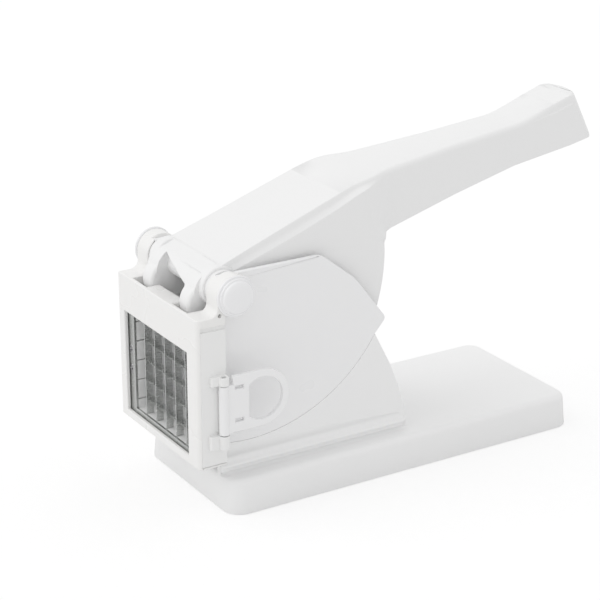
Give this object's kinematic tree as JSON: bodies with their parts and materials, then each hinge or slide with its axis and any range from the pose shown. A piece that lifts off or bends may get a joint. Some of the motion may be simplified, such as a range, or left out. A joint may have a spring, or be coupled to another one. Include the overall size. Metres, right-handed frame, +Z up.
{
  "type": "french fry cutter",
  "caption": "Plastic hand-lever potato chipper: a swinging lever presses a studded pusher through a potato chamber onto a pull-out blade cassette with a hinged ring.",
  "frame": {"origin": "centre of the flat underside of the base, on the table", "axes": "+Z up, +Y to the back, where the handle points, +X to the side with the pull ring"},
  "size_m": [0.1052, 0.2946, 0.1981],
  "materials": {
    "body_white": "moulded, glossy, very fine texture",
    "plate_white": "moulded, glossy",
    "frame_white": "moulded, glossy",
    "cap_white": "moulded, glossy",
    "lever_white": "moulded, glossy",
    "pusher_white": "moulded, satin",
    "cassette_white": "moulded, glossy",
    "ring_white": "moulded, glossy",
    "underside_grey": "moulded, matt",
    "pad_rubber": "matt",
    "blade_steel": "ground stainless strip",
    "retainer_steel": "brushed stainless sheet",
    "shaft_steel": "turned and polished",
    "screw_steel": "zinc plated"
  },
  "bodies": {
    "housing": {"base_shell": "body_white", "base_plate": "underside_grey", "base_pads": "pad_rubber", "base_screws": "screw_steel", "pedestal": "body_white", "pedestal_screws": "screw_steel", "chamber_floor": "body_white", "left_side_plate": "plate_white", "right_side_plate": "plate_white", "front_frame": "frame_white", "frame_screws": "screw_steel", "pivot_shaft": "shaft_steel", "left_cap": "cap_white", "right_cap": "cap_white"},
    "lever": {"lever_shell": "lever_white", "handle_cover": "lever_white", "handle_screws": "screw_steel", "pusher_plate": "pusher_white", "pusher_screws": "screw_steel"},
    "cassette": {"blade_frame": "cassette_white", "vertical_blades": "blade_steel", "horizontal_blades": "blade_steel", "blade_retainer": "retainer_steel", "retainer_screws": "screw_steel", "end_panel": "cassette_white", "panel_screws": "screw_steel", "ring_pin": "shaft_steel"},
    "ring": {"pull_ring": "ring_white"}
  },
  "joints": [
    {"name": "lever_swing", "type": "hinge", "parent": "housing", "child": "lever", "pos_m": [0, -0.114, 0.1296], "axis": [1, 0, 0], "range_deg": [-26, 50]},
    {"name": "cassette_slide", "type": "slide", "parent": "housing", "child": "cassette", "axis": [1, 0, 0], "range_m": [0, 0.11]},
    {"name": "ring_swing", "type": "hinge", "parent": "cassette", "child": "ring", "pos_m": [0.0499, -0.1237, 0.0661], "axis": [0, 0, -1], "range_deg": [0, 100]}
  ]
}
